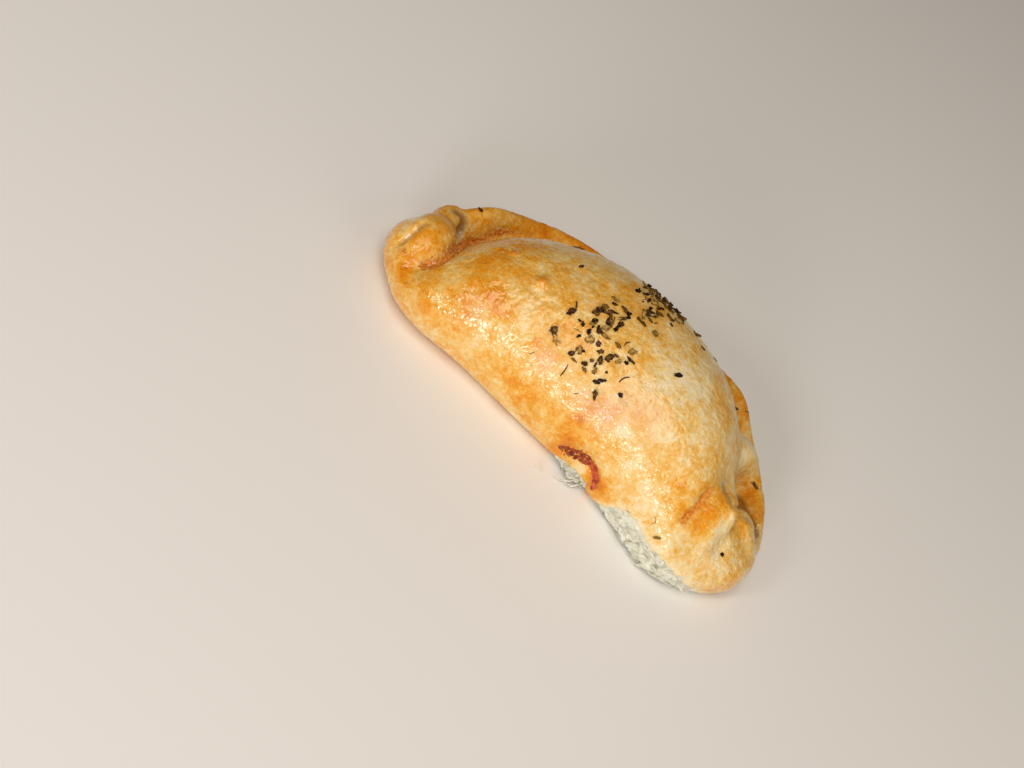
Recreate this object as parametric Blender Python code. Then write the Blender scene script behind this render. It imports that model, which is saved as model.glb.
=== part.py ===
"""A baked empanada: one disc of dough, folded over its filling and sealed along its curved edge.

The fold lies along -Y and the sealed, upturned rim along +Y, and both corners of the half-moon are turned in
over its ends. It is one solid. Metres, +Z up, with the origin on the table under the middle of the object.
"""

import math

import bmesh
import bpy
from mathutils import Vector

MM = 0.001

# Driving dimensions
LENGTH = 150 * MM  # along the fold, over the turned-in corners
DEPTH = 82 * MM  # from the fold to the outer edge of the rim
HEIGHT = 40 * MM  # from the table to the top of the dome
RIM_WIDTH = 10 * MM  # the pressed dough between the dome and the edge
RIM_THICK = 5.2 * MM
RIM_LIFT = 12.5 * MM  # height of the rim's upturned edge

# Lines that follow from them
HALF = LENGTH / 2
FRONT_Y = -DEPTH / 2
WAIST_Y = FRONT_Y + 28 * MM  # the widest line, where the rim's curve begins
REACH = DEPTH / 2 - WAIST_Y
SINK = 2 * MM  # how far every form reaches below the table before the base is cut flat
TO_MIDDLE = Vector((0.7, 0.4, 0)) * MM  # brings the finished shape's middle over the origin

# Surface
VOXEL = 0.9 * MM
DOUGH_MELT = 36  # rounds of smoothing, which run the folds into the body as soft dough does
RIM_MELT = 9  # and the rim into both
KEPT = 0.1  # share of the triangles that the finished solid keeps


def clear_scene():
    for old in list(bpy.data.objects):
        bpy.data.objects.remove(old)


def bump(centre, width, x):
    """A soft hump of height 1 at centre, which fades out over width on either side."""
    return math.exp(-(((x - centre) / width) ** 2))


def smooth_step(low, high, x):
    t = min(max((x - low) / (high - low), 0.0), 1.0)
    return t * t * (3 - 2 * t)


def squircle(t, power):
    """1 at t = 0, falling to 0 at t = 1, along a superellipse."""
    return max(0.0, 1 - abs(t) ** power) ** (1 / power)


def blend(a, b, power):
    """The larger of two lengths, rounded over where they are alike."""
    return (a**power + b**power) ** (1 / power)


def add_object(name, shape):
    mesh = bpy.data.meshes.new(name)
    shape.to_mesh(mesh)
    shape.free()
    piece = bpy.data.objects.new(name, mesh)
    bpy.context.scene.collection.objects.link(piece)
    return piece


def loft(name, rings):
    """A closed mesh through rings of equal length, with a flat cap at each end."""
    shape = bmesh.new()
    made = [[shape.verts.new(point) for point in ring] for ring in rings]
    for ring, following in zip(made, made[1:]):
        for i in range(len(ring)):
            j = (i + 1) % len(ring)
            shape.faces.new((ring[i], ring[j], following[j], following[i]))
    shape.faces.new(reversed(made[0]))
    shape.faces.new(made[-1])
    bmesh.ops.recalc_face_normals(shape, faces=shape.faces)
    return add_object(name, shape)


# --- Body: the filled half-moon, lofted through upright sections from corner to corner ---

BODY_STATIONS = 90
QUARTER = 14  # points on each quarter of a section
CREST = 0.05  # where the dome is highest, as a share of the half length
FOLD_DEPTH = 22 * MM  # from the widest line to the middle of the fold
LEFT_CORNER, RIGHT_CORNER = 15 * MM, 17.5 * MM  # heights of the turned-in corners
TIP_HEIGHT = 9 * MM  # height of the outermost point of each corner
SHORTER = 1.5 * MM  # how much less the right corner reaches out than the left one


def dome_top(s):
    """Height of the crest at s, from -1 at the left corner to 1 at the right one."""
    if s < CREST:
        dome = HEIGHT * max(0, 1 - ((CREST - s) / (0.80 + CREST)) ** 2) ** 0.42
        corner = LEFT_CORNER * squircle(s, 5)
    else:
        dome = HEIGHT * max(0, 1 - ((s - CREST) / (0.74 - CREST)) ** 3) ** 0.42
        corner = RIGHT_CORNER * squircle(s, 5)
    return blend(dome, corner, 6)


def dome_front(s):
    """The fold in plan: nearly straight, with a belly towards each corner and the larger one on the right."""
    bellies = (8.3 * bump(0.7, 0.26, s) + 5.5 * bump(-0.72, 0.2, s)) * MM
    return WAIST_Y - (FOLD_DEPTH + bellies) * squircle(s, 4.2 if s > 0 else 3)


def dome_back(s):
    """Where the dome's far side meets the rim; past the dome it runs along the turned-in corners."""
    dome = (REACH - RIM_WIDTH - 2 * MM) * squircle(s / 0.74, 2.0 if s > 0 else 2.25)
    corner = 5 * MM * squircle(s, 3)
    return WAIST_Y + blend(dome, corner, 3)


def body_section(s):
    """Points of one section, counted from the front of the base round over the crest."""
    x = s * (HALF - SHORTER * smooth_step(0.3, 1, s))
    front, back = dome_front(s), dome_back(s)
    lift = TIP_HEIGHT * (1 - squircle(s, 4.5 if s > 0 else 3))  # the corners round up off the table
    base = lift - SINK
    top = lift + dome_top(s) * squircle(s, 9)
    right = smooth_step(0.1, 0.5, s)
    belt = base + min((12.5 - 4.5 * right) * MM, 0.5 * (top - base))  # height of the foremost point
    foot = base + min(7 * MM, 0.4 * (top - base))  # height at which the dome meets the rim
    under = min((10 - 4 * right) * MM, 0.4 * (back - front))  # how far the fold curls under
    crest = front + 0.48 * (back - front)
    slack = 0.9 + 0.4 * smooth_step(-0.2, -0.6, s)  # how gently the back runs down to the rim
    points = []
    for i in range(QUARTER):  # under the fold
        a = math.pi / 2 * i / QUARTER
        points.append((x, front + under * (1 - math.sin(a)), base + (belt - base) * (1 - math.cos(a))))
    for i in range(QUARTER):  # fold to crest
        a = math.pi / 2 * i / QUARTER
        points.append((x, crest - (crest - front) * math.cos(a), belt + (top - belt) * math.sin(a) ** 0.95))
    for i in range(QUARTER):  # crest to the valley at the rim
        a = math.pi / 2 * i / QUARTER
        y = crest + (back - crest) * math.sin(a) ** 0.9
        points.append((x, y, foot + (top - foot) * math.cos(a) ** slack))
    points.append((x, back, foot))
    points.append((x, back, base))
    return points


def make_body():
    rings = []
    for i in range(BODY_STATIONS + 1):
        rings.append(body_section(0.995 * math.sin(math.pi / 2 * (2 * i / BODY_STATIONS - 1))))
    return loft("body", rings)


# --- Rim: the two layers of dough pressed together, turned up behind the dome ---

RIM_STATIONS = 96
RIM_ENDS = math.radians(3)
RIM_SIDE = 8  # points on each face of the rim's section
LIP_SIDE = 6  # and round its lip
BURIED = 5 * MM  # how far the rim runs on inside the dome
VALLEY = 1 * MM  # height of the rim's underside next to the dome


def rim_edge(angle):
    """The rim's outer edge in plan, counted from the right corner."""
    c = math.cos(angle)
    full = 2.5 if c > 0 else 3.1
    return Vector(((HALF - 2.5 * MM) * c, WAIST_Y + REACH * (1 - abs(c) ** full) ** 0.85, 0))


def rim_lift(angle):
    """Height of the upturned edge, with a soft wave for each pinch of the thumb."""
    wave = math.sin(13 * angle) * 0.7
    peaks = 5 * bump(math.radians(54), 0.2, angle) + 3.2 * bump(math.radians(24), 0.2, angle)
    peaks += 2.5 * bump(math.radians(146), 0.22, angle) - 1.0 * bump(math.radians(117), 0.2, angle)
    return RIM_LIFT + (wave + peaks) * MM


def rim_section(angle):
    """A strip of even thickness with a rounded lip, rising from the valley behind the dome to the edge."""
    edge = rim_edge(angle)
    run = rim_edge(angle + 0.01) - rim_edge(angle - 0.01)
    out = Vector((run.y, -run.x, 0)).normalized()
    up = Vector((0, 0, 1))
    rise = rim_lift(angle) - RIM_THICK - VALLEY
    reach = RIM_WIDTH + BURIED - RIM_THICK / 2
    upper, lower = [], []
    for i in range(RIM_SIDE + 1):
        t = i / RIM_SIDE
        centre = edge - out * (reach * (1 - t) + RIM_THICK / 2) + up * (VALLEY + RIM_THICK / 2 + rise * t**2)
        slope = math.atan2(2 * rise * t, reach)
        normal = (up * math.cos(slope) - out * math.sin(slope)) * RIM_THICK / 2
        upper.append(centre + normal)
        lower.append(centre - normal)
    lip = []
    for i in range(1, LIP_SIDE):
        a = slope + math.pi / 2 - math.pi * i / LIP_SIDE
        lip.append(centre + (out * math.cos(a) + up * math.sin(a)) * RIM_THICK / 2)
    return upper + lip + lower[::-1]


def make_rim():
    rings = []
    for i in range(RIM_STATIONS + 1):
        rings.append(rim_section(RIM_ENDS + (math.pi - 2 * RIM_ENDS) * i / RIM_STATIONS))
    return loft("rim", rings)


# --- Folds of dough at the two corners ---

FINGER_STATIONS = 16
FINGER_SIDES = 16


def finger(name, path, radii):
    """A round ridge through three points, as thick as its three radii, with rounded ends."""
    p0, p1, p2 = (Vector(p) * MM for p in path)
    r0, r1, r2 = (r * MM for r in radii)
    rings = []
    for i in range(FINGER_STATIONS + 1):
        a = math.pi * (0.01 + 0.98 * i / FINGER_STATIONS)
        t = 0.5 - 0.5 * math.cos(a)
        centre = p0 * (1 - t) * (1 - 2 * t) + p1 * 4 * t * (1 - t) + p2 * t * (2 * t - 1)
        along = (p0 * (4 * t - 3) + p1 * 4 * (1 - 2 * t) + p2 * (4 * t - 1)).normalized()
        side = along.cross(Vector((0, 0, 1))).normalized()
        up = side.cross(along)
        radius = r0 * (1 - t) * (1 - 2 * t) + r1 * 4 * t * (1 - t) + r2 * t * (2 * t - 1)
        radius *= math.sin(a) ** 0.5
        turn = [2 * math.pi * k / FINGER_SIDES for k in range(FINGER_SIDES)]
        rings.append([centre + (side * math.cos(b) + up * math.sin(b)) * radius for b in turn])
    return loft(name, rings)


def make_corner_folds():
    return [
        finger("left corner", [(-61.5, -6, 11), (-64, -15, 13.5), (-61, -27, 10.5)], [6, 8, 7]),
        finger("left lobe", [(-66, -8, 8), (-68.5, -15, 10), (-66.5, -23, 10)], [4.5, 5.8, 4.7]),
        finger("left heel", [(-61, 4, 9), (-65.5, 0, 11), (-67, -8, 9)], [4.5, 5, 4.5]),
        finger("right ridge", [(48, -8, 19), (51.5, -21, 22), (54, -33, 12)], [5, 6.5, 6]),
        finger("right corner", [(56, -10, 14), (63, -14, 12.5), (68.5, -18, 7)], [5, 6, 4.5]),
        finger("right saddle", [(38, 2, 20), (48.5, 8, 13.5), (58, 9, 10.5)], [9, 7, 6.5]),
    ]


def make_split_cutter():
    """The crescent that opened in the front of the fold, where the filling's juice broke through."""
    split = finger("split cutter", [(4.5, -35.4, 7.5), (14, -35.6, 14.5), (22.5, -37.2, 7)], [1.3, 2.2, 2.2])
    split.location = TO_MIDDLE
    split.hide_render = True
    split.display_type = "WIRE"
    return split


def merge(name, forms):
    """One object that holds every form, still as separate shells."""
    shape = bmesh.new()
    for form in forms:
        shape.from_mesh(form.data)
        bpy.data.objects.remove(form)
    return add_object(name, shape)


def melt(piece, rounds):
    """Turns a piece's forms into one skin and softens it where they meet."""
    skin = piece.modifiers.new("one skin", "REMESH")
    skin.mode = "VOXEL"
    skin.voxel_size = VOXEL
    soft = piece.modifiers.new("melt", "SMOOTH")
    soft.iterations = rounds
    bpy.context.view_layer.update()
    shaped = piece.evaluated_get(bpy.context.evaluated_depsgraph_get())
    piece.data = bpy.data.meshes.new_from_object(shaped)
    piece.modifiers.clear()
    return piece


def make_table_cutter():
    shape = bmesh.new()
    bmesh.ops.create_cube(shape, size=1.0)
    bmesh.ops.scale(shape, vec=(2 * LENGTH, 2 * LENGTH, 20 * MM), verts=shape.verts)
    bmesh.ops.translate(shape, vec=(0, 0, -10 * MM), verts=shape.verts)
    cutter = add_object("table cutter", shape)
    cutter.hide_render = True
    cutter.display_type = "WIRE"
    return cutter


def crust_material():
    crust = bpy.data.materials.new("egg-washed crust")
    crust.use_nodes = True
    shader = crust.node_tree.nodes["Principled BSDF"]
    shader.inputs["Base Color"].default_value = (0.79, 0.44, 0.13, 1)
    shader.inputs["Roughness"].default_value = 0.42
    shader.inputs["Metallic"].default_value = 0.0
    return crust


def main():
    clear_scene()
    dough = melt(merge("dough", [make_body(), *make_corner_folds()]), DOUGH_MELT)
    empanada = melt(merge("empanada", [dough, make_rim()]), RIM_MELT)
    empanada.location = TO_MIDDLE
    split = empanada.modifiers.new("split", "BOOLEAN")
    split.operation = "DIFFERENCE"
    split.object = make_split_cutter()
    thin = empanada.modifiers.new("fewer triangles", "DECIMATE")
    thin.ratio = KEPT
    cut = empanada.modifiers.new("flat base", "BOOLEAN")
    cut.operation = "DIFFERENCE"
    cut.object = make_table_cutter()
    empanada.data.materials.append(crust_material())
    empanada.data.shade_smooth()


main()
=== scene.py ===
"""A baked empanada on a pale table: egg-washed crust, baked-on juice, torn dough and cracked herbs."""

import math
import random

import bmesh
import bpy
import numpy as np
from mathutils import Matrix, Vector, noise
from mathutils.bvhtree import BVHTree


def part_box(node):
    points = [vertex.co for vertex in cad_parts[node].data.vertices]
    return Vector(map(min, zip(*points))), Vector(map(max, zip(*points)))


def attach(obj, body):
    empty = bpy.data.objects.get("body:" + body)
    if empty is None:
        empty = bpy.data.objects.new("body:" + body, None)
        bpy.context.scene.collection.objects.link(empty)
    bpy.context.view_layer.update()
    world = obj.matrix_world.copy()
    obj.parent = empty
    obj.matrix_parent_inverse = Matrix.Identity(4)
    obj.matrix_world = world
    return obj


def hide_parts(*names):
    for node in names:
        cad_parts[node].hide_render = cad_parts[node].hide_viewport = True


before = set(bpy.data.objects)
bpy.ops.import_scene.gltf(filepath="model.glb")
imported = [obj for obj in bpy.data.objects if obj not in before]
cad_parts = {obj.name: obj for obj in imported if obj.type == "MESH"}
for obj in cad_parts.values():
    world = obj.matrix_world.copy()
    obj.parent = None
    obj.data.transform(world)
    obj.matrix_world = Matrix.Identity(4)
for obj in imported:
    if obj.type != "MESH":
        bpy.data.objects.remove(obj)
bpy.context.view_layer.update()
low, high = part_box("empanada")
MM = 0.001


# --- The crust ---
# One disc of soft wheat dough, folded over its filling. The edge is pinched into an upturned rim and both
# corners are turned in over the ends. It is brushed with beaten egg, so it bakes glossy, golden and crinkled.

SKIN = 0.5 * MM  # side of the skin's small quads
MIDDLE = Vector((0.7 * MM, low.y + 28.5 * MM, low.z + 10 * MM))  # places on the crust are told from here


def copy_of_solid(name, voxel):
    """The solid's shape as a new object, remade as an even skin."""
    shape = bmesh.new()
    shape.from_mesh(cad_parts["empanada"].data)
    bmesh.ops.remove_doubles(shape, verts=shape.verts, dist=1e-6)
    mesh = bpy.data.meshes.new(name)
    shape.to_mesh(mesh)
    shape.free()
    piece = bpy.data.objects.new(name, mesh)
    bpy.context.scene.collection.objects.link(piece)
    remesh = piece.modifiers.new("skin", "REMESH")
    remesh.mode = "VOXEL"
    remesh.voxel_size = voxel
    bpy.context.view_layer.update()
    evaluated = piece.evaluated_get(bpy.context.evaluated_depsgraph_get())
    piece.data = bpy.data.meshes.new_from_object(evaluated)
    piece.modifiers.clear()
    piece.data.name = name
    return piece


def read_points(mesh):
    flat = np.empty(len(mesh.vertices) * 3, np.float32)
    mesh.vertices.foreach_get("co", flat)
    return flat.reshape(-1, 3).astype(float)


def write_points(mesh, points):
    mesh.vertices.foreach_set("co", points.astype(np.float32).ravel())
    mesh.update()


def read_normals(mesh):
    flat = np.empty(len(mesh.vertices) * 3, np.float32)
    mesh.vertex_normals.foreach_get("vector", flat)
    return flat.reshape(-1, 3).astype(float)


def read_edges(mesh):
    flat = np.empty(len(mesh.edges) * 2, np.int32)
    mesh.edges.foreach_get("vertices", flat)
    return flat.reshape(-1, 2)


def neighbour_mean(values, edges):
    """Each point's mean over the points that an edge joins it to."""
    count = len(values)
    ends = np.concatenate([edges[:, 0], edges[:, 1]])
    others = np.concatenate([edges[:, 1], edges[:, 0]])
    degree = np.bincount(ends, minlength=count).clip(1)
    sums = [np.bincount(ends, column[others], count) for column in values.T]
    return np.stack(sums, axis=1) / degree[:, None]


def even_out(points, edges, rounds):
    """Smooths away facets and steps without shrinking the form."""
    for _ in range(rounds):
        for pull in (0.5, -0.52):
            points = points + pull * (neighbour_mean(points, edges) - points)
    return points


def step(start, end, values):
    """0 up to start, 1 from end on, and an S-shaped rise between."""
    t = np.clip((values - start) / (end - start), 0, 1)
    return t * t * (3 - 2 * t)


def grain(points, size, shift=0, layers=1):
    """Soft noise from -1 to 1 whose lumps are about size across."""
    moved = (points / size + shift).tolist()
    if layers == 1:
        return np.array([noise.noise(p) for p in moved])
    return np.array([noise.fractal(p, 0.9, 2.1, layers) for p in moved])


def creases(points, size, shift=0):
    """Narrow winding ridges of height 1 along the lines where soft noise changes sign."""
    return 1 - np.minimum(np.abs(grain(points, size, shift)) * 5, 1)


crust = copy_of_solid("crust", SKIN)
edges = read_edges(crust.data)
points = even_out(read_points(crust.data), edges, 30)
write_points(crust.data, points)
form = BVHTree.FromObject(crust, bpy.context.evaluated_depsgraph_get())


def way_round(turn):
    """The way out from the middle at turn degrees from the front, up and over to the back."""
    a = math.radians(turn)
    return Vector((0, -math.cos(a), math.sin(a)))


def place(along, turn):
    """The point on the crust at along, in mm from the middle, and at turn degrees round from the fold."""
    return form.ray_cast(MIDDLE + Vector((along * MM, 0, 0)), way_round(turn))[0]


def from_above(x, y):
    """The point on the crust straight below (x, y), in mm from the object's middle."""
    return form.ray_cast(Vector((x * MM, y * MM, high.z + 10 * MM)), Vector((0, 0, -1)))[0]


def smooth_line(*spots):
    """A smooth line through the given points."""
    spots = [np.array(spot) for spot in spots]
    ends = [2 * spots[0] - spots[1]] + spots + [2 * spots[-1] - spots[-2]]
    line = []
    for a, b, c, d in zip(ends, ends[1:], ends[2:], ends[3:]):
        for t in np.linspace(0, 1, 8, endpoint=False):
            bend = (2 * b, c - a, 2 * a - 5 * b + 4 * c - d, 3 * b - a - 3 * c + d)
            line.append(0.5 * sum(k * t**i for i, k in enumerate(bend)))
    return line + [spots[-1]]


def line_on_crust(*places):
    """A smooth line over the crust through the given (along, turn) places."""
    return smooth_line(*[place(*p) for p in places])


def beside(points, line):
    """Distance of every point from a line, and how far along the line it lies, from 0 to 1."""
    nearest = np.full(len(points), np.inf)
    share = np.zeros(len(points))
    for i, (a, b) in enumerate(zip(line, line[1:])):
        run = b - a
        t = np.clip((points - a) @ run / max(run @ run, 1e-12), 0, 1)
        gap = np.linalg.norm(points - a - t[:, None] * run, axis=1)
        closer = gap < nearest
        nearest[closer] = gap[closer]
        share[closer] = ((i + t) / (len(line) - 1))[closer]
    return nearest, share


def furrow(line, width, fade=0.25):
    """1 along a line, falling off over width to either side and fading out at both ends."""
    gap, share = beside(points, line)
    ends = step(0, fade, share) * step(0, fade, 1 - share)
    return np.exp(-((gap / width) ** 2)) * (0.25 + 0.75 * ends)


def about(spot, radius):
    """1 at a point, falling off over radius."""
    gap = np.linalg.norm(points - np.array(spot), axis=1)
    return np.exp(-((gap / radius) ** 2))


def around(along, turn, radius):
    """1 at a place on the crust, falling off over radius."""
    return about(place(along, turn), radius)


def ease(points, share, rounds):
    """Smooths the points by the share given for each."""
    for _ in range(rounds):
        points = points + 0.5 * share[:, None] * (neighbour_mean(points, edges) - points)
    return points


# The dough runs on evenly from the dome to the right corner, as a saddle between the rim and the turned-in
# fold, and fills the valley beside the ridge: (x, y, half width, half depth, rise) in mm
FILLS = ((51.5, 4.5, 4.8, 7, 3.2), (60.5, -19, 4.5, 8, 3.2))
upward = step(0, 0.5, read_normals(crust.data)[:, 2]) * step(7 * MM, 11 * MM, points[:, 2])
for x, y, wide, deep, lift in FILLS:
    away = ((points[:, 0] / MM - x) / wide) ** 2 + ((points[:, 1] / MM - y) / deep) ** 2
    points[:, 2] += lift * MM * np.exp(-away) * upward
points[:, 2] -= 3.4 * MM * about(place(50.5, 84), 5 * MM)
mend = 1.7 * about(from_above(53, -2), 8 * MM) + about(from_above(54, -12), 4 * MM)
mend += 1.6 * about((58.5 * MM, -20 * MM, low.z + 22 * MM), 5 * MM)
mend = np.clip(mend + 1.4 * about((58.5 * MM, -27 * MM, low.z + 19 * MM), 5 * MM), 0, 1)
points = ease(points, mend, 90)
write_points(crust.data, points)
form = BVHTree.FromObject(crust, bpy.context.evaluated_depsgraph_get())


# Creases where dough meets dough
BAND_SPOTS = ((-44.4, 22.4), (-48.5, 17), (-51.4, 12.1), (-52.8, 7.8), (-54.7, 3), (-56, -1.1), (-56.6, -5))
RIM_CREASE = smooth_line(*[from_above(*spot) for spot in BAND_SPOTS])
KNOB_SPOTS = ((-56, 112), (-56, 90), (-56, 72), (-56.1, 57), (-56.6, 42), (-57.8, 32), (-60.1, 19))
KNOB_CREASE = line_on_crust(*KNOB_SPOTS)
LOBE_CREASE = line_on_crust((-67.7, 80), (-68.3, 54), (-68.8, 33), (-69.3, 8))
TURN_SPOTS = ((-67, -0.5), (-64, 2), (-61.5, 2.4), (-60, 0), (-58.6, -5))
TURN_CREASE = smooth_line(*[from_above(*spot) for spot in TURN_SPOTS])
RIDGE_CREASE = line_on_crust((45.2, 66), (45.4, 50), (45.6, 42), (45.5, 33), (45.2, 24))
HOLLOW = line_on_crust((53.8, 60), (55.1, 49), (57, 39), (59.3, 27), (61.3, 14))
TUCK = line_on_crust((48, 80), (51.6, 70), (54.1, 67), (60.9, 92), (66, 99), (70.2, 122))
CORNER_SPOTS = ((55.5, 1), (59.5, -1), (63, -4.5), (67.4, -7.6), (70, -9.5))
CORNER_FLOOR = smooth_line(*[from_above(*spot) for spot in CORNER_SPOTS])
CORNER_RIDGE = line_on_crust((58.6, 88), (62.4, 74), (66.6, 61), (71.3, 37))

# The bow along which the fold split open over the table
SPLIT_RISE = ((5.6, 351), (7.5, 357), (9.4, 1), (11.4, 4), (13.4, 6))
SPLIT_FALL = ((15.7, 6), (18.1, 4), (19.6, 1), (20.5, 356), (21.3, 349))
SPLIT = line_on_crust(*SPLIT_RISE, *SPLIT_FALL)

# The split's upper edge and the valley at the right corner are rounded off
soft = np.clip(1.5 * furrow(SPLIT, 4 * MM, 0.02) + 1.2 * furrow(HOLLOW, 4.5 * MM, 0.1), 0, 1)
points = ease(points, soft, 40)
write_points(crust.data, points)
form = BVHTree.FromObject(crust, bpy.context.evaluated_depsgraph_get())

sink = 1.0 * furrow(RIM_CREASE, 2.0 * MM)
sink += 1.7 * furrow(KNOB_CREASE, 1.8 * MM, 0.15)
sink += 1.5 * furrow(LOBE_CREASE, 1.4 * MM)
sink += 1.2 * furrow(TURN_CREASE, 1.8 * MM)
sink += 1.1 * furrow(RIDGE_CREASE, 2.0 * MM)
sink += 0.9 * furrow(HOLLOW, 3.2 * MM) + 0.8 * furrow(SPLIT, 1.3 * MM, 0.1)
sink += 0.9 * furrow(TUCK, 1.4 * MM, 0.1)
sink += 1.0 * furrow(CORNER_FLOOR, 1.6 * MM)
sink -= 0.45 * furrow(CORNER_RIDGE, 2.2 * MM)

# Small blisters that rose in the oven: (along, turn, radius in mm, height in mm)
BLISTERS = (
    (-30.4, 83, 1.9, 1.3),
    (-27, 76, 1.2, 0.35),
    (10.2, 56, 1.5, 0.9),
    (0.7, 68, 1.5, 0.5),
    (-46.7, 95, 1.0, 0.4),
    (-42.2, 96, 1.2, 0.4),
    (-20, 46, 1.6, 0.35),
    (4.4, 38, 1.3, 0.3),
    (-51, 60, 1.3, 0.3),
    (24, 70, 1.4, 0.3),
)
rise = sum(height * around(along, turn, radius * MM) for along, turn, radius, height in BLISTERS)

# The dough's own unevenness, from the filling's lumps down to the crinkled glaze
top_side = step(1 * MM, 5 * MM, points[:, 2])
uneven = 0.45 * grain(points, 17 * MM, 3.1) + 0.22 * grain(points, 7.5 * MM, 8.2)
crinkle = 0.15 * grain(points, 2.6 * MM, 1.7) + 0.05 * grain(points, 1.3 * MM, 5.5)
crinkle += 0.12 * creases(points * (1, 0.7, 1), 5 * MM, 9.4)

# Where the fold tore open along the table the crust breaks off and the white dough shows
TEAR_ALONG = (6, 9, 11, 14, 18, 20, 22, 25, 28, 31, 35, 41, 50, 58, 64, 68)
TEAR_HEIGHT = (0, 3.7, 5.7, 6.3, 5.7, 4.0, 0.6, 2.2, 6.2, 8.6, 10.4, 11.2, 10.6, 9, 5.5, 0)
ragged = grain(points, 5 * MM, 2.2, 4)
tear_line = np.interp(points[:, 0] / MM, TEAR_ALONG, TEAR_HEIGHT, 0, 0) + 2.0 * ragged
torn = step(-0.25, 0.35, tear_line - points[:, 2] / MM) * step(-20 * MM, -24 * MM, points[:, 1])
torn *= step(0.5, 1.5, np.interp(points[:, 0] / MM, TEAR_ALONG, TEAR_HEIGHT, 0, 0))
crumb = 0.55 * grain(points, 3.2 * MM, 6.3, 3) + 0.25 * grain(points, 1.5 * MM, 4.1)

# Juice that boiled out of the filling and baked on: in the crease at the left corner and in the split
juice = 0.85 * furrow(RIM_CREASE, 1.5 * MM, 0.3) + 0.9 * about(from_above(-55.3, 1.5), 3.6 * MM)
juice += (
    1.15 * furrow(KNOB_CREASE, 1.6 * MM, 0.05)
    + about(place(-56, 92), 2.2 * MM)
    + furrow(RIDGE_CREASE, 2.0 * MM, 0.15)
)
juice = np.clip(juice + 1.15 * furrow(SPLIT[6:], 1.8 * MM, 0.1), 0, 1)
bubbles = np.array([noise.voronoi(p)[0][0] for p in (points / (1.1 * MM)).tolist()])
boiled = (0.45 - bubbles).clip(-0.3, 0.45) * juice

shift = (uneven + crinkle * (1 - torn)) * top_side + rise - sink + boiled + torn * (crumb - 0.55)
normals = read_normals(crust.data)
points = points + normals * (shift * MM)[:, None]
points = points.clip(np.array(low), np.array(high))
write_points(crust.data, points)

# How deep each point lies against the dough around it: ridges brown more, and hollows and creases get painted
# shade
around_it = points
for _ in range(28):
    around_it = neighbour_mean(around_it, edges)
relief = ((points - around_it) * normals).sum(axis=1) / MM
# The painted shade is deepened along the folds' creases and taken off round the split
relief -= 1.3 * furrow(TURN_CREASE, 2.4 * MM) + 0.7 * furrow(TUCK, 1.2 * MM, 0.1)
relief -= 1.3 * furrow(CORNER_FLOOR, 2.0 * MM, 0.15)
relief -= 0.5 * furrow(LOBE_CREASE, 1.6 * MM) + 0.3 * furrow(RIDGE_CREASE, 1.4 * MM)
relief *= 1 - furrow(SPLIT, 5 * MM, 0.05)


# How brown each point baked: the rim, the ridges and the left end most, the sheltered belt and hollows least;
# some pale spots are painted sheen
x, y, z = (points / MM).T
edge_way = step(14, 30, y) * step(6, 13, z)
browning_and_sheen = 0.44 + 0.27 * edge_way + 0.08 * step(-40, -66, x) - 0.16 * step(-5, 25, x) * step(-30, -8, y)
browning_and_sheen += 0.22 * np.clip(relief, -0.6, 0.8) - 0.06 * step(16, 9, z) * step(30, 10, x)
TONE_AND_SHEEN_PATCHES = (
    (place(-36.5, 49), 4.5, 0.35),
    (place(3.8, 43), 2.4, 0.25),
    (place(4.5, 29), 2.6, 0.35),
    (place(5.2, 11), 3, 0.35),
    (place(-13, 6), 4, 0.15),
    (place(-24, 4), 4, 0.15),
    (place(-62.8, 12), 2.8, 0.42),
    (place(-61.8, 6), 2.4, 0.3),
    (place(-46, 60), 5, 0.2),
    (place(-8.9, 11), 7, 0.1),
    (place(50.5, 40), 4.5, 0.35),
    (place(50.5, 58), 4, 0.2),
    (place(50, 28), 3, 0.2),
    (place(35.4, 8), 5, 0.15),
    (place(66, 45), 7, -0.02),
    (place(10.2, 50), 2.2, 0.3),
    (place(-71, 30), 4, -0.08),
    (place(56, 44), 5, -0.35),
    (from_above(-56, 9), 5, 0.06),
    (place(-41, 88), 9, 0.2),
    (place(30, 62), 10, -0.12),
    (place(14.5, 354), 3, -0.35),
    # Painted sheen: pale spots on the front where the glaze faces the key light
    (place(15, 43), 3.6, -0.28),
    (place(24, 33), 3.6, -0.22),
    (place(33, 16), 5, -0.2),
    (place(26.5, 8), 3, -0.25),
    (place(-28, 34), 7, -0.12),
    (place(-24, 100), 12, -0.18),
    (place(15, 88), 12, -0.22),
    # Painted sheen, broad and pale, low on the right of the front
    (place(40, 15), 11, -0.2),
    (place(17, 42), 7, -0.12),
    (place(62, 10), 9, -0.2),
    (from_above(60, 2), 4, 0.4),
    (from_above(66, -5), 5, 0.35),
    (from_above(51, 6), 5, -0.3),
)
for spot, radius, more in TONE_AND_SHEEN_PATCHES:
    browning_and_sheen += more * about(spot, radius * MM)
# Fat soaked into the crust round the split; the dome's back and the lip above the tear stayed paler
fat = 0.5 * about(place(22.8, 358), 3.2 * MM) + 0.35 * about(place(18, 359), 2.6 * MM)
fat += 0.3 * furrow(SPLIT, 2.0 * MM, 0.05) + 0.3 * about(place(6.5, 347), 2.4 * MM)
browning_and_sheen += fat - 0.22 * step(5, 14, y) * step(14, 20, z)
browning_and_sheen -= 0.5 * step(4.5, 0, z - tear_line) * step(-20, -24, y) * step(22, 27, x)


def store(mesh, name, values):
    layer = mesh.attributes.new(name, "FLOAT", "POINT")
    layer.data.foreach_set("value", values.astype(np.float32))


store(crust.data, "browning_and_sheen", browning_and_sheen.clip(0, 1.4))
store(crust.data, "juice", juice)
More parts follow.
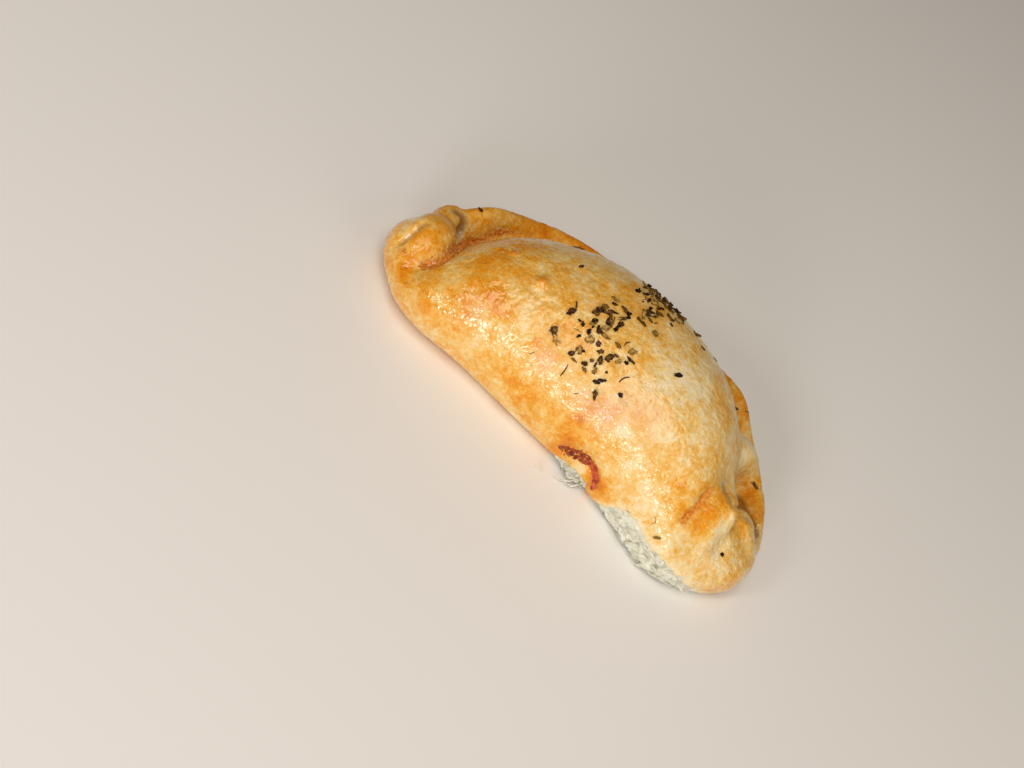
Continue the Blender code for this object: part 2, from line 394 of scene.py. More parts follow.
# The egg wash is thickest where the brush reached: on the dome's front, less on the rim and the ends' tops
glaze = (1 - torn) * (1 - 0.85 * step(-4, 8, y) * step(26, 15, z))
glaze *= 1 - 0.7 * step(44, 49, np.abs(x + 4)) * step(17.5, 20, z)
glaze *= 1 - 0.42 * step(-38, -20, x) * step(50, 40, x)
store(crust.data, "glaze", glaze)
# Painted sheen, pale and a little pink, on the dome's front: (along, turn, radius in mm, share)
PAINTED_SHEENS = (
    (-14.3, 43, 4.5, 0.36),
    (1.6, 43, 4.5, 0.38),
    (9.5, 44, 4.5, 0.34),
    (9.5, 56, 5, 0.24),
    (17.5, 62, 6, 0.3),
    (-38, 34, 4, 0.2),
)
painted_sheen = sum(share * around(along, turn, radius * MM) for along, turn, radius, share in PAINTED_SHEENS)
store(crust.data, "painted_sheen", painted_sheen.clip(0, 0.6))
store(crust.data, "torn", torn)
store(crust.data, "relief", relief.clip(-2, 2))


def colour(code):
    """A linear colour from an sRGB hex code such as #C08040."""
    parts = [int(code[i : i + 2], 16) / 255 for i in (1, 3, 5)]
    return [p / 12.92 if p <= 0.04045 else ((p + 0.055) / 1.055) ** 2.4 for p in parts] + [1]


def add(tree, kind, inputs=(), stops=(), **settings):
    """Adds a node with its settings, its inputs as values or as other nodes' sockets, and a ramp's stops."""
    made = tree.nodes.new("ShaderNode" + kind)
    for name, value in settings.items():
        setattr(made, name, value)
    for key, value in dict(inputs).items():
        if isinstance(value, bpy.types.NodeSocket):
            tree.links.new(value, made.inputs[key])
        else:
            made.inputs[key].default_value = value
    for i, (position, code) in enumerate(stops):
        elements = made.color_ramp.elements
        stop = elements[i] if i < 2 else elements.new(position)
        stop.position = position
        stop.color = colour(code)
    return made


def new_material(name):
    """A material with an empty node tree and its output."""
    material = bpy.data.materials.new(name)
    material.use_nodes = True
    material.node_tree.nodes.clear()
    return material, material.node_tree


# Egg-washed crust, oven baked: mottled gold under a thin clear glaze that breaks the light into small glints
egg_wash, tree = new_material("egg_washed_crust")
spots = add(tree, "TexCoord").outputs["Object"]
cloudy = add(tree, "TexNoise", {"Vector": spots, "Scale": 1 / (13 * MM), "Detail": 3, "Roughness": 0.55})
mottled = add(tree, "TexNoise", {"Vector": spots, "Scale": 1 / (4.2 * MM), "Detail": 4, "Roughness": 0.6})
flecked = add(tree, "TexNoise", {"Vector": spots, "Scale": 1 / (1.3 * MM), "Detail": 3, "Roughness": 0.65})
winding = add(tree, "TexNoise", {"Vector": spots, "Scale": 1 / (6 * MM), "Detail": 3, "Distortion": 0.6})
off_line = add(tree, "Math", {0: winding.outputs["Fac"], 1: 0.5}, operation="SUBTRACT").outputs[0]
off_line = add(tree, "Math", {0: off_line}, operation="ABSOLUTE").outputs[0]
veins = add(tree, "MapRange", {"Value": off_line, 1: 0, 2: 0.03, 3: -0.14, 4: 0}).outputs[0]
gold_level = add(tree, "Attribute", attribute_name="browning_and_sheen").outputs["Fac"]
gold_level = add(tree, "Math", {0: gold_level, 1: veins}, operation="ADD").outputs[0]
pores = add(tree, "TexNoise", {"Vector": spots, "Scale": 1 / (0.5 * MM), "Detail": 2})
for texture, share in ((cloudy, 0.9), (mottled, 1.0), (flecked, 0.75), (pores, 0.45)):
    swing = add(tree, "Math", {0: texture.outputs["Fac"], 1: 0.5}, operation="SUBTRACT").outputs[0]
    gold_level = add(tree, "Math", {0: swing, 1: share, 2: gold_level}, operation="MULTIPLY_ADD").outputs[0]
GOLDS = (
    (0, "#F5E2B4"),
    (0.22, "#F1CE84"),
    (0.45, "#EDB54E"),
    (0.65, "#E79A1E"),
    (0.85, "#E2890A"),
    (1, "#CE7608"),
)
gold = add(tree, "ValToRGB", {"Fac": gold_level}, stops=GOLDS).outputs["Color"]

# Painted shade: the crust's colour is multiplied towards olive-brown in hollows and creases
relief_in = add(tree, "Attribute", attribute_name="relief").outputs["Fac"]
painted_shade_in = add(tree, "MapRange", {"Value": relief_in, 1: -0.15, 2: -1.1, 3: 0, 4: 0.75}).outputs[0]
shadow = colour("#8F6A2A")
shaded = add(tree, "Mix", {0: painted_shade_in, 6: gold, 7: shadow}, data_type="RGBA", blend_type="MULTIPLY")

JUICES = ((0.0, "#8A380A"), (0.3, "#C06A18"), (0.5, "#DE8C2C"), (0.9, "#F0AE58"))
boil = add(tree, "TexVoronoi", {"Vector": spots, "Scale": 1 / (1.1 * MM)})
grainy = add(tree, "Math", {0: boil.outputs["Distance"], 1: 0.6, 2: 0.2}, operation="MULTIPLY_ADD").outputs[0]
syrup = add(tree, "ValToRGB", {"Fac": grainy}, stops=JUICES).outputs["Color"]
juice_in = add(tree, "Attribute", attribute_name="juice").outputs["Fac"]
wet = add(tree, "Math", {0: mottled.outputs["Fac"], 1: 0.7, 2: juice_in}, operation="MULTIPLY_ADD").outputs[0]
wet = add(tree, "MapRange", {"Value": wet, 1: 0.75, 2: 1.2}).outputs[0]
juicy = add(tree, "Mix", {0: wet, 6: shaded.outputs[2], 7: syrup}, data_type="RGBA")

DOUGHS = ((0.3, "#B2B39C"), (0.5, "#E0E1CE"), (0.65, "#F0F1DC"), (0.8, "#F5EDC0"))
rough_dough = add(tree, "TexNoise", {"Vector": spots, "Scale": 1 / (2.6 * MM), "Detail": 6, "Roughness": 0.7})
dough = add(tree, "ValToRGB", {"Fac": rough_dough.outputs["Fac"]}, stops=DOUGHS).outputs["Color"]
torn_in = add(tree, "Attribute", attribute_name="torn").outputs["Fac"]
painted_sheen_in = add(tree, "Attribute", attribute_name="painted_sheen").outputs["Fac"]
flecks = flecked.outputs["Fac"]
patchy = add(tree, "MapRange", {"Value": flecks, 1: 0.35, 2: 0.62, 3: 0.35, 4: 1.5}).outputs[0]
# Painted sheen: the crust's colour is mixed towards a pale pinkish white
sheen_share = add(tree, "Math", {0: painted_sheen_in, 1: patchy}, operation="MULTIPLY").outputs[0]
with_painted_sheen = add(tree, "Mix", {0: sheen_share, 6: juicy.outputs[2], 7: colour("#FCE0C2")}, data_type="RGBA")
skin = add(tree, "Mix", {0: torn_in, 6: with_painted_sheen.outputs[2], 7: dough}, data_type="RGBA")

wrinkles = add(tree, "TexNoise", {"Vector": spots, "Scale": 1 / (1.45 * MM), "Detail": 1.5, "Roughness": 0.5})
coarse = add(tree, "Bump", {"Height": wrinkles.outputs["Fac"], "Distance": 0.37 * MM})
fine = add(tree, "Bump", {"Height": pores.outputs["Fac"], "Distance": 0.12 * MM, "Normal": coarse.outputs[0]})
glazed = add(tree, "Attribute", attribute_name="glaze").outputs["Fac"]
matt = add(tree, "MapRange", {"Value": mottled.outputs["Fac"], 1: 0.3, 2: 0.7, 3: 0.34, 4: 0.52}).outputs[0]
matt = add(tree, "Mix", {0: torn_in, 2: matt, 3: 0.85}).outputs[0]
shader = add(
    tree,
    "BsdfPrincipled",
    {
        "Base Color": skin.outputs[2],
        "Roughness": matt,
        "IOR": 1.45,
        "Specular IOR Level": 0.12,
        "Normal": fine.outputs[0],
        "Coat Weight": glazed,
        "Coat Roughness": 0.09,
        "Coat IOR": 1.55,
        "Coat Normal": coarse.outputs[0],
        "Subsurface Weight": 0.12,
        "Subsurface Radius": (1, 0.5, 0.2),
        "Subsurface Scale": 1.5 * MM,
    },
)
add(tree, "OutputMaterial", {"Surface": shader.outputs[0]})

crust.data.materials.clear()
crust.data.materials.append(egg_wash)
crust.data.shade_smooth()
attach(crust, "root")
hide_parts("empanada")
skin_tree = BVHTree.FromPolygons(
    [tuple(p) for p in points], [tuple(face.vertices) for face in crust.data.polygons]
)


# --- Baked-on juice ---
# Juice from the filling boiled out at the left corner's crease and through a split in the fold. It dried
# there to a dark, sticky film of whole and burst bubbles.

rng = random.Random(5)


def under(point):
    """The crust's nearest point, and which way is up there."""
    spot, normal, _, _ = skin_tree.find_nearest(Vector(point))
    return spot, normal


def join(name, shapes, material, fuse=0.0):
    """One object of many small closed shapes: (corners, faces, how near an edge each corner is, tone).

    All are kept just off the table and within a millimetre of the crust's top. With fuse they run together.
    """
    corners, faces, nearness, tones = [], [], [], []
    for points_of, faces_of, edge_of, tone in shapes:
        first = len(corners)
        corners += [(p[0], p[1], min(max(p[2], low.z + 0.1 * MM), high.z + 0.9 * MM)) for p in points_of]
        faces += [tuple(first + k for k in f) for f in faces_of]
        nearness += edge_of
        tones += [tone] * len(points_of)
    mesh = bpy.data.meshes.new(name)
    mesh.from_pydata(corners, [], faces)
    mesh.validate()
    store(mesh, "edge", np.array(nearness))
    store(mesh, "tone", np.array(tones))
    piece = bpy.data.objects.new(name, mesh)
    bpy.context.scene.collection.objects.link(piece)
    if fuse:
        skin = piece.modifiers.new("one film", "REMESH")
        skin.mode = "VOXEL"
        skin.voxel_size = fuse
        soft = piece.modifiers.new("sticky", "SMOOTH")
        soft.iterations = 2
        bpy.context.view_layer.update()
        shaped = piece.evaluated_get(bpy.context.evaluated_depsgraph_get())
        piece.data = bpy.data.meshes.new_from_object(shaped)
        piece.modifiers.clear()
        piece.data.name = name
    piece.data.materials.clear()
    piece.data.materials.append(material)
    piece.data.shade_smooth()
    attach(piece, "root")
    return piece


def bubble(spot, normal, radius):
    """A low round bubble that sits in the crust."""
    ball = bmesh.new()
    bmesh.ops.create_icosphere(ball, subdivisions=2, radius=radius)
    squash = Vector((rng.uniform(0.85, 1.3), rng.uniform(0.85, 1.3), rng.uniform(0.6, 0.9)))
    turn_up = normal.to_track_quat("Z", "Y").to_matrix() @ Matrix.Rotation(rng.uniform(0, 3), 3, "Z")
    corners = [spot + turn_up @ (vert.co * squash) for vert in ball.verts]
    faces = [tuple(vert.index for vert in face.verts) for face in ball.faces]
    ball.free()
    return corners, faces, [0.0] * len(corners), rng.random()


def boil_along(line, count, wide, smallest, largest):
    """Bubbles strewn along a line, smaller and closer to it towards its ends."""
    found = []
    for _ in range(count):
        t = rng.random()
        i = min(int(t * (len(line) - 1)), len(line) - 2)
        at = line[i] + (line[i + 1] - line[i]) * (t * (len(line) - 1) - i)
        slack = wide * (0.4 + 0.6 * math.sin(math.pi * t))
        at = at + np.array([rng.gauss(0, slack) for _ in range(3)])
        spot, normal = under(at)
        radius = rng.uniform(smallest, largest) * (0.6 + 0.4 * math.sin(math.pi * t))
        found.append(bubble(spot - normal * radius * 0.2, normal, radius))
    return found


# Burnt meat juice and fat, dried in the oven: near black-red where thick, amber where thin, and glossy
burnt_juice, tree = new_material("burnt_juice")
spots = add(tree, "TexCoord").outputs["Object"]
thick = add(tree, "TexNoise", {"Vector": spots, "Scale": 1 / (1.6 * MM), "Detail": 4, "Roughness": 0.6})
SYRUPS = ((0.3, "#54160A"), (0.45, "#842E12"), (0.6, "#AC4E1C"), (0.75, "#D0782A"))
syrup = add(tree, "ValToRGB", {"Fac": thick.outputs["Fac"]}, stops=SYRUPS).outputs["Color"]
REDS = ((0.3, "#8A2412"), (0.5, "#C24A20"), (0.7, "#DC7440"))
red = add(tree, "ValToRGB", {"Fac": thick.outputs["Fac"]}, stops=REDS).outputs["Color"]
BROWNS = ((0.3, "#A85814"), (0.5, "#DE8C32"), (0.7, "#F4B060"))
brown = add(tree, "ValToRGB", {"Fac": thick.outputs["Fac"]}, stops=BROWNS).outputs["Color"]
across = add(tree, "SeparateXYZ", {0: spots}).outputs["X"]
thinner = add(tree, "MapRange", {"Value": across, 1: 14 * MM, 2: 19 * MM}).outputs[0]
at_corner = add(tree, "MapRange", {"Value": across, 1: -30 * MM, 2: -40 * MM}).outputs[0]
syrup = add(tree, "Mix", {0: thinner, 6: syrup, 7: red}, data_type="RGBA").outputs[2]
syrup = add(tree, "Mix", {0: at_corner, 6: syrup, 7: brown}, data_type="RGBA").outputs[2]
froth = add(tree, "TexNoise", {"Vector": spots, "Scale": 1 / (0.5 * MM), "Detail": 2})
relief_node = add(tree, "Bump", {"Height": froth.outputs["Fac"], "Distance": 0.12 * MM})
shader = add(
    tree,
    "BsdfPrincipled",
    {
        "Base Color": syrup,
        "Roughness": 0.17,
        "IOR": 1.48,
        "Normal": relief_node.outputs[0],
        "Subsurface Weight": 0.15,
        "Subsurface Radius": (1, 0.35, 0.1),
        "Subsurface Scale": 0.6 * MM,
    },
)
add(tree, "OutputMaterial", {"Surface": shader.outputs[0]})

film = boil_along(SPLIT[3:48], 520, 0.7 * MM, 0.22 * MM, 0.46 * MM)
film += boil_along(SPLIT[36:], 90, 0.3 * MM, 0.45 * MM, 0.8 * MM)
film += boil_along(SPLIT[4:18], 40, 0.2 * MM, 0.35 * MM, 0.6 * MM)
film += boil_along(KNOB_CREASE, 110, 0.55 * MM, 0.2 * MM, 0.48 * MM)
film += boil_along(RIM_CREASE, 120, 0.55 * MM, 0.25 * MM, 0.5 * MM)
film += boil_along(RIM_CREASE[24:], 90, 1.1 * MM, 0.2 * MM, 0.45 * MM)
STRAYS = (
    ((-47.2, 88), (-45.7, 92), (-44.6, 94)),
    ((-42.6, 95), (-41.6, 96)),
    ((-66.8, 21), (-65.6, 17)),
)
for stray in STRAYS:
    film += boil_along(line_on_crust(*stray), 7, 0.4 * MM, 0.4 * MM, 0.6 * MM)
join("baked_juice", film, burnt_juice, 0.12 * MM)


# --- Torn dough ---
# Under the split and along the table the crust tore as the dough rose. Shreds of white, unbrowned crumb hang
# from the lip of the split, with a few thin strands.


def flake(length, width, thick, curl):
    """One broken, uneven blade that curls across and bends along, with sharp or torn ends."""
    across, lengthwise = 4, 6
    starts, stops_at = rng.uniform(0.02, 0.2), rng.uniform(0.8, 0.98)
    bend = rng.uniform(-0.15, 0.3) * length
    lean = rng.uniform(-0.35, 0.35)
    sides = [[rng.uniform(0.4, 1.2) for _ in range(2)] for _ in range(lengthwise + 1)]
    top, below, near = [], [], []
    for i in range(lengthwise + 1):
        t = starts + (stops_at - starts) * i / lengthwise
        half = width / 2 * math.sin(math.pi * t) ** 0.9
        for j in range(across + 1):
            s = 2 * j / across - 1
            px = (t - 0.5) * length
            py = s * half * sides[i][0 if s < 0 else 1] + lean * px
            pz = curl * width * s * s + bend * (t - 0.5) ** 2 * 2 + rng.uniform(-0.05, 0.05) * width
            top.append(Vector((px, py, pz + thick)))
            below.append(Vector((px, py, pz)))
            near.append(max(abs(s), abs(2 * i / lengthwise - 1)) ** 4)
    row = across + 1
    faces = []
    for i in range(lengthwise):
        for j in range(across):
            a = i * row + j
            faces.append((a, a + row, a + row + 1, a + 1))
    shell = len(top)
    faces += [tuple(k + shell for k in reversed(f)) for f in faces]
    rim = [j for j in range(row)] + [i * row + across for i in range(1, lengthwise + 1)]
    rim += [lengthwise * row + j for j in reversed(range(across))]
    rim += [i * row for i in reversed(range(1, lengthwise))]
    for a, b in zip(rim, rim[1:] + rim[:1]):
        faces.append((a, b, b + shell, a + shell))
    return top + below, faces, near * 2, rng.random()


def strand(length, thick, bend):
    """One bent, uneven strand with rounded ends."""
    sides, rings = 6, 8
    corners, faces = [], []
    for i in range(rings + 1):
        t = i / rings
        r = thick / 2 * (0.4 + 0.6 * math.sin(math.pi * (0.08 + 0.84 * t)) ** 0.5) * rng.uniform(0.75, 1.2)
        for k in range(sides):
            a = 2 * math.pi * k / sides
            y = bend * length * ((2 * t - 1) ** 2 - 0.5) + r * math.cos(a)
            corners.append(Vector(((t - 0.5) * length, y, thick / 2 + r * math.sin(a))))
    for i in range(rings):
        for k in range(sides):
            n = (k + 1) % sides
            faces.append((i * sides + k, i * sides + n, (i + 1) * sides + n, (i + 1) * sides + k))
    faces.append(tuple(reversed(range(sides))))
    faces.append(tuple(rings * sides + k for k in range(sides)))
    return corners, faces, [0.3] * len(corners), rng.random()


def laid(shape, spot, normal, spin, tilt=0.0, sunk=0.0):
    """A shape laid on the crust at a spot and turned by spin, counted from the object's length."""
    corners, faces, near, tone = shape
    level = (Vector((1, 0, 0)) - normal * normal.x).normalized()
    basis = Matrix((level, normal.cross(level), normal)).transposed()
    basis = basis @ Matrix.Rotation(spin, 3, "Z") @ Matrix.Rotation(tilt, 3, "Y")
    return [spot - normal * sunk + basis @ p for p in corners], faces, near, tone


# Unbrowned dough crumb: white to cream, soft and matt, with fine pores
crumb_white, tree = new_material("torn_dough")
spots = add(tree, "TexCoord").outputs["Object"]
tone = add(tree, "TexNoise", {"Vector": spots, "Scale": 1 / (1.8 * MM), "Detail": 5, "Roughness": 0.7})
WHITES = ((0.3, "#B8B8A2"), (0.5, "#E4E4D0"), (0.7, "#F6F6E4"))
white = add(tree, "ValToRGB", {"Fac": tone.outputs["Fac"]}, stops=WHITES).outputs["Color"]
holes = add(tree, "TexNoise", {"Vector": spots, "Scale": 1 / (0.5 * MM), "Detail": 3})
relief_node = add(tree, "Bump", {"Height": holes.outputs["Fac"], "Distance": 0.2 * MM})
shader = add(
    tree,
    "BsdfPrincipled",
    {
        "Base Color": white,
        "Roughness": 0.85,
        "IOR": 1.4,
        "Normal": relief_node.outputs[0],
        "Subsurface Weight": 0.2,
        "Subsurface Radius": (1, 0.8, 0.6),
        "Subsurface Scale": 1 * MM,
    },
)
add(tree, "OutputMaterial", {"Surface": shader.outputs[0]})

def seen_from_front(x, height):
    """The crust's nearest point straight behind (x, height), in mm, and which way is out there."""
    spot, normal, _, _ = skin_tree.ray_cast(Vector((x, -70, height)) * MM, Vector((0, 1, 0)))
    return spot, normal


shreds = []
for _ in range(60):  # ragged shreds under the split
    x = min(max(rng.gauss(14.4, 3.2), 8.5), 19.5)
    height = min(max(rng.gauss(2.4, 1.8), 0.5), 5.4)
    spot, normal = seen_from_front(x, height)
    size = rng.uniform(1.6, 4.4) * MM * (1 - 0.07 * abs(x - 14.5))
    out = rng.uniform(0, 2.8) * max(1 - height / 5, 0) * max(1 - abs(x - 15.5) / 6, 0)
    bit = flake(size, size * rng.uniform(0.5, 0.9), rng.uniform(0.2, 0.7) * MM, rng.uniform(0.1, 0.5))
    spot = spot - Vector((0, out * MM, 0))
    shreds.append(laid(bit, spot, normal, rng.uniform(0, 6.3), rng.uniform(-1.0, 0.2), 0.3 * MM))
for _ in range(60):  # flat scraps along the table
    x = rng.uniform(27, 60)
    height = max(rng.gauss(5.5, 3.0), 0.6)
    spot, normal = seen_from_front(x, height)
    bit = flake(rng.uniform(3, 7.5) * MM, rng.uniform(1.2, 3) * MM, 0.14 * MM, rng.uniform(0.0, 0.08))
    if height < np.interp(x, TEAR_ALONG, TEAR_HEIGHT) - 1.2:
        shreds.append(laid(bit, spot, normal, rng.gauss(0, 0.5), rng.uniform(-0.06, 0.06), 0.1 * MM))


def thread(spots, thick):
    """A thin thread of dough through the given points, in mm, tapered at both ends."""
    line = smooth_line(*[Vector(spot) * MM for spot in spots])
    sides, corners, faces = 6, [], []
    for i, spot in enumerate(line):
        along = Vector(line[min(i + 1, len(line) - 1)] - line[max(i - 1, 0)]).normalized()
        side = along.cross(Vector((0, 0, 1))).normalized()
        r = thick / 2 * (0.3 + 0.7 * math.sin(math.pi * i / (len(line) - 1)) ** 0.5) * rng.uniform(0.8, 1.2)
        for k in range(sides):
            a = 2 * math.pi * k / sides
            corners.append(Vector(spot) + side * r * math.cos(a) + side.cross(along) * r * math.sin(a))
    for i in range(len(line) - 1):
        for k in range(sides):
            n = (k + 1) % sides
            faces.append((i * sides + k, i * sides + n, (i + 1) * sides + n, (i + 1) * sides + k))
    faces.append(tuple(reversed(range(sides))))
    faces.append(tuple(len(corners) - sides + k for k in range(sides)))
    return corners, faces, [0.3] * len(corners), rng.random()


HANGING = (
    ((17.2, -33.4, 4), (16.2, -34.4, 1.8), (14.6, -35.2, 0.7), (13.2, -35.9, 0.4), (11.6, -36.5, 0.3)),
    ((18.8, -33.4, 2.6), (17.6, -34.8, 1.2), (16, -35.2, 0.6), (14.8, -35.4, 0.4)),
    ((8.2, -38, 0.3), (6.8, -38, 0.35), (5.2, -38.3, 0.3)),
)
for spots_of in HANGING:
    shreds.append(thread(spots_of, 0.6 * MM))
join("torn_dough", shreds, crumb_white)


# --- Herbs ---
# Dried oregano, strewn over the egg wash before baking. The thin bits scorched black-brown, the larger leaf
# flakes kept some olive with dark curled edges, and short stalks lie between them.

rng = random.Random(23)


# Dried leaf, scorched in the oven: brittle and dull, darker at its broken edges than in the middle
def herb_material(name, tones, edge_tone, edge_share, rough):
    material, tree = new_material(name)
    spots = add(tree, "TexCoord").outputs["Object"]
    stain = add(tree, "TexNoise", {"Vector": spots, "Scale": 1 / (0.9 * MM), "Detail": 4, "Roughness": 0.7})
    blotch = stain.outputs["Fac"]
    swing = add(tree, "MapRange", {"Value": blotch, 1: 0.25, 2: 0.75, 3: -0.5, 4: 0.5}).outputs[0]
    own = add(tree, "Attribute", attribute_name="tone").outputs["Fac"]
    level = add(tree, "Math", {0: own, 1: 0.7, 2: 0.15}, operation="MULTIPLY_ADD").outputs[0]
    level = add(tree, "Math", {0: level, 1: swing}, operation="ADD").outputs[0]
    hue = add(tree, "ValToRGB", {"Fac": level}, stops=tones).outputs["Color"]
    near = add(tree, "Attribute", attribute_name="edge").outputs["Fac"]
    rim = add(tree, "Math", {0: near, 1: edge_share}, operation="MULTIPLY").outputs[0]
    hue = add(tree, "Mix", {0: rim, 6: hue, 7: colour(edge_tone)}, data_type="RGBA").outputs[2]
    veins = add(tree, "TexNoise", {"Vector": spots, "Scale": 1 / (0.35 * MM), "Detail": 3})
    relief = add(tree, "Bump", {"Height": veins.outputs["Fac"], "Distance": 0.08 * MM})
    shader = add(
        tree,
        "BsdfPrincipled",
        {
            "Base Color": hue,
            "Roughness": rough,
            "IOR": 1.45,
            "Specular IOR Level": 0.2,
            "Normal": relief.outputs[0],
        },
    )
    add(tree, "OutputMaterial", {"Surface": shader.outputs[0]})
    return material


BLACKS = ((0, "#160A05"), (0.4, "#2A160A"), (0.7, "#542F1C"), (1, "#946638"))
OLIVES = ((0, "#30200C"), (0.3, "#66481A"), (0.6, "#A27A30"), (0.85, "#CCA250"), (1, "#DCB87C"))
STEMS = ((0, "#3A2013"), (0.5, "#6E4524"), (1, "#9C7040"))
scorched = herb_material("scorched_oregano", BLACKS, "#0E0603", 0.5, 0.5)
dried = herb_material("dried_oregano", OLIVES, "#33210C", 0.6, 0.45)
woody = herb_material("oregano_stalk", STEMS, "#2A1A10", 0.3, 0.55)

# Where the smaller bits fell: (along, turn, spread along in mm, spread round in degrees, and how many
# scorched bits, olive bits and stalks)
HANDFULS = (
    (-10, 82, 4.0, 12, 12, 5, 3),
    (-1, 66, 4.5, 9, 7, 3, 1),
    (0, 118, 5.0, 7, 8, 8, 2),
    (1, 133, 7.0, 4, 10, 14, 2),
    (6, 156, 13.0, 7, 12, 12, 3),
    (-26, 158, 12.0, 6, 5, 4, 1),
    (24, 158, 8.0, 6, 4, 3, 1),
)
# The larger bits: (kind, along, turn, length in mm, width as a share of it, spin in degrees)
SINGLES = (
    ("scorched", -18.6, 78, 3.6, 0.6, 50),
    ("stalk", -18.9, 84, 2.4, 0.2, 125),
    ("scorched", -8.6, 121, 3.4, 0.55, 75),
    ("olive", -1.4, 112, 5.0, 0.7, 80),
    ("olive", -3.0, 108, 4.0, 0.5, 100),
    ("olive", -2.1, 103, 5.2, 0.3, 0),
    ("olive", 3.3, 104, 2.8, 0.9, 20),
    ("olive", -11.7, 104, 3.8, 0.4, -10),
    ("olive", -7.2, 102, 4.6, 0.4, -25),
    ("scorched", -11.2, 101, 2.6, 0.5, 5),
    ("scorched", -5.6, 99, 2.0, 0.7, 60),
    ("olive", -6.6, 96, 4.2, 0.35, 30),
    ("scorched", -9.6, 96, 2.6, 0.4, 25),
    ("stalk", -8.0, 89, 4.6, 0.13, 100),
    ("scorched", -13.0, 91, 3.2, 0.5, 20),
    ("olive", -13.4, 87, 3.4, 0.5, 10),
    ("scorched", -12.0, 82, 2.0, 0.85, 40),
    ("scorched", -9.4, 88, 2.4, 0.45, -65),
    ("scorched", -6.0, 88, 2.0, 0.75, 120),
    ("olive", -8.2, 84, 3.0, 0.7, 60),
    ("olive", -7.0, 80, 4.0, 0.35, -5),
    ("scorched", -15.1, 77, 1.6, 0.6, 30),
    ("scorched", -11.2, 79, 1.2, 0.7, 80),
    ("scorched", -11.2, 75, 1.8, 0.6, -60),
    ("olive", -9.3, 72, 3.6, 0.7, 40),
    ("scorched", -12.3, 69, 1.7, 0.65, 85),
    ("stalk", -0.9, 86, 2.2, 0.2, 75),
    ("olive", 1.9, 84, 3.6, 0.55, 45),
    ("olive", -2.4, 81, 2.8, 0.5, 15),
    ("scorched", 3.2, 80, 3.4, 0.3, -20),
    ("scorched", 2.6, 77, 1.8, 0.8, 0),
    ("olive", -1.9, 72, 4.4, 0.45, 55),
    ("scorched", -1.5, 70, 1.4, 0.8, 30),
    ("olive", 0.8, 74, 3.0, 0.6, 70),
    ("olive", -18.3, 61, 4.8, 0.6, -35),
    ("olive", -15.8, 57, 3.4, 0.6, -10),
    ("olive", -9.6, 63, 3.2, 0.8, 80),
    ("scorched", -8.4, 64, 1.2, 0.8, 0),
    ("scorched", -10.4, 58, 2.6, 0.6, 15),
    ("olive", -8.6, 56, 2.6, 0.4, -15),
    ("scorched", -5.8, 59, 2.6, 0.65, 40),
    ("olive", -4.6, 56, 3.0, 0.4, 5),
    ("olive", -2.2, 60, 2.8, 0.6, 110),
    ("scorched", 1.0, 59, 3.0, 0.45, 55),
    ("scorched", 0.4, 56, 3.2, 0.5, 10),
    ("scorched", 7.7, 60, 2.0, 0.75, -20),
    ("scorched", 16.0, 94, 3.6, 0.45, 25),
    ("scorched", -25.6, 113, 2.0, 0.55, 80),
    ("scorched", 16.9, 126, 2.2, 0.3, 0),
    ("olive", -7.6, 131, 5.4, 0.35, 12),
    ("olive", -2.4, 129, 5.0, 0.4, -8),
    ("olive", 1.5, 127, 4.6, 0.45, 5),
    ("olive", 6.2, 126, 5.2, 0.4, 20),
    ("olive", 3.4, 121, 3.4, 0.45, 15),
    ("scorched", -6.4, 123, 3.0, 0.45, 40),
    ("stalk", -8.6, 47, 4.0, 0.1, 100),
    ("stalk", -18.6, 40, 1.8, 0.14, 60),
    ("stalk", -1.6, 41, 1.6, 0.14, 50),
    ("scorched", 61.3, 23, 1.6, 0.8, 30),
    ("stalk", 39.5, 16, 2.6, 0.08, 110),
    ("olive", 43.5, 10, 2.8, 0.4, 20),
    ("stalk", 33.0, 5, 1.8, 0.1, 10),
    ("scorched", -56.0, 160, 1.8, 0.5, 20),
)
# Bits caught on the upright rim: (x, y) in mm, then as above
ON_RIM = (
    ("scorched", 59.4, 5.4, 5.0, 0.3, -30),
    ("scorched", 40.6, 24.7, 1.8, 0.5, 10),
    ("stalk", 43.7, 25.8, 1.6, 0.2, 30),
    ("scorched", -59.8, 9.2, 2.2, 0.5, -40),
)
bits = {"scorched": [], "olive": [], "stalk": []}
SHORTEST, LONGEST = (0.9, 2.0, 1.6), (2.5, 4.2, 4.4)  # of the smaller bits, in mm, for each kind


def lands_at(along, turn):
    """Where something strewn at a place on the crust comes to lie, and which way is up there."""
    way = way_round(turn)
    outside = MIDDLE + Vector((along * MM, 0, 0)) + way * 60 * MM
    spot, normal, _, _ = skin_tree.ray_cast(outside, -way)
    return spot, normal


def strew(kind, spot, normal, length, width, spin):
    """Lays one bit of a kind on the crust, its width told as a share of its length."""
    if kind == "stalk":
        shape = strand(length, width * length, rng.uniform(-0.35, 0.35))
    else:
        thick = rng.uniform(0.2, 0.5) * MM if kind == "scorched" else 0.14 * MM
        curl = rng.uniform(0, 0.25) if kind == "scorched" else rng.uniform(0.1, 0.4)
        shape = flake(length, width * length, thick, curl)
    bits[kind].append(laid(shape, spot, normal, spin, rng.uniform(-0.2, 0.2), 0.05 * MM))


